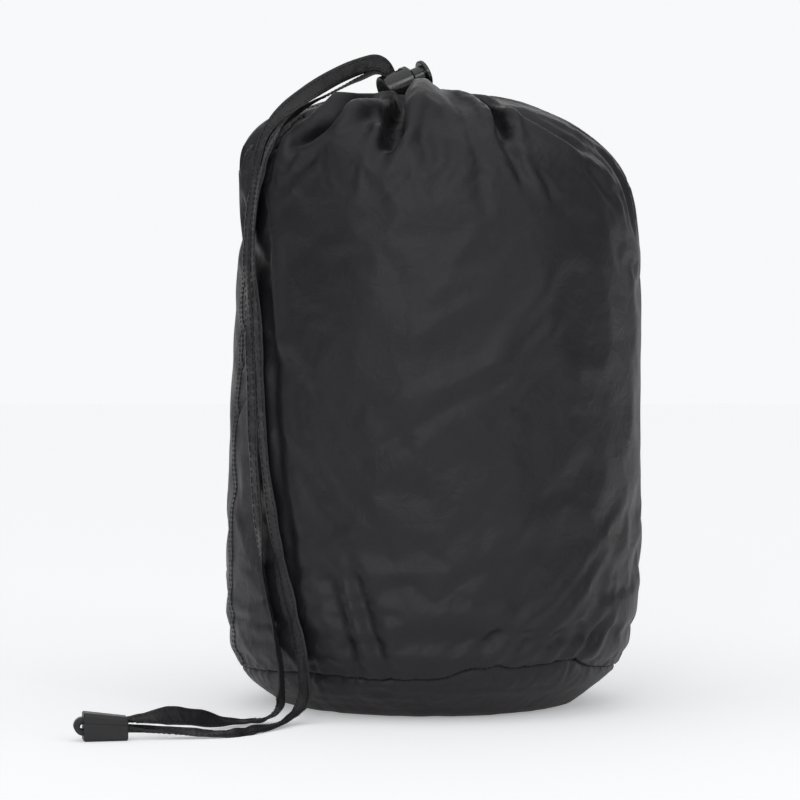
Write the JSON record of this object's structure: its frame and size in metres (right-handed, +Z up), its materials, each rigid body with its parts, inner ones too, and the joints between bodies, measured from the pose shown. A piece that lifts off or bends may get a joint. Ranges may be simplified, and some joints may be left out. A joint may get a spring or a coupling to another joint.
{
  "type": "drawstring stuff sack",
  "caption": "Round cloth stuff sack, packed full, closed by a drawstring tape with a sprung cord lock and a clamshell cord end on the two tape tails.",
  "frame": {"origin": "centre of the base, on the surface that the sack stands on, measured without the two tape tails and the cord end", "axes": "+Z up along the sack, front towards -Y, the tape tails fall over the left shoulder (-X) and lie to the front left"},
  "size_m": [0.318, 0.3111, 0.3785],
  "materials": {
    "sack_cloth": "satin",
    "contents": "matte",
    "binding": "matte",
    "thread": "satin",
    "tape": "satin",
    "lock_plastic": "satin",
    "cord_end_plastic": "satin",
    "spring_steel": "satin"
  },
  "bodies": {
    "sack": {"packed_contents": "contents", "body_panel": "sack_cloth", "base_panel": "sack_cloth", "side_seam": "sack_cloth", "side_seam_stitching": "thread", "base_seam_binding": "binding", "base_seam_stitching": "thread", "drawcord_casing": "sack_cloth", "casing_stitching": "thread", "casing_bartacks": "thread", "drawstring_loop": "tape", "drawstring_tail_a": "tape", "drawstring_tail_b": "tape", "tape_knot": "tape", "cord_end_lower_shell": "cord_end_plastic", "cord_end_hinge_strap": "cord_end_plastic"},
    "cord_lock": {"lock_housing": "lock_plastic", "lock_spring": "spring_steel"},
    "lock_button": {"lock_plunger": "lock_plastic"},
    "cord_end_lid": {"cord_end_upper_shell": "cord_end_plastic"}
  },
  "joints": [
    {"name": "lock_slide", "type": "slide", "parent": "sack", "child": "cord_lock", "axis": [-0.359, -0.144, 0.9221], "range_m": [-0.004, 0.002]},
    {"name": "button_press", "type": "slide", "parent": "cord_lock", "child": "lock_button", "axis": [-0.8562, -0.3421, -0.3871], "range_m": [0, 0.0048], "stiffness_N_per_m": 1200, "springref_m": -0.003, "deforming": ["lock_spring"]},
    {"name": "cord_end_opens", "type": "hinge", "parent": "sack", "child": "cord_end_lid", "pos_m": [-0.1927, -0.18262, 0.0098], "axis": [0.1736, -0.9848, 0], "range_deg": [0, 110], "deforming": ["cord_end_hinge_strap"]}
  ]
}
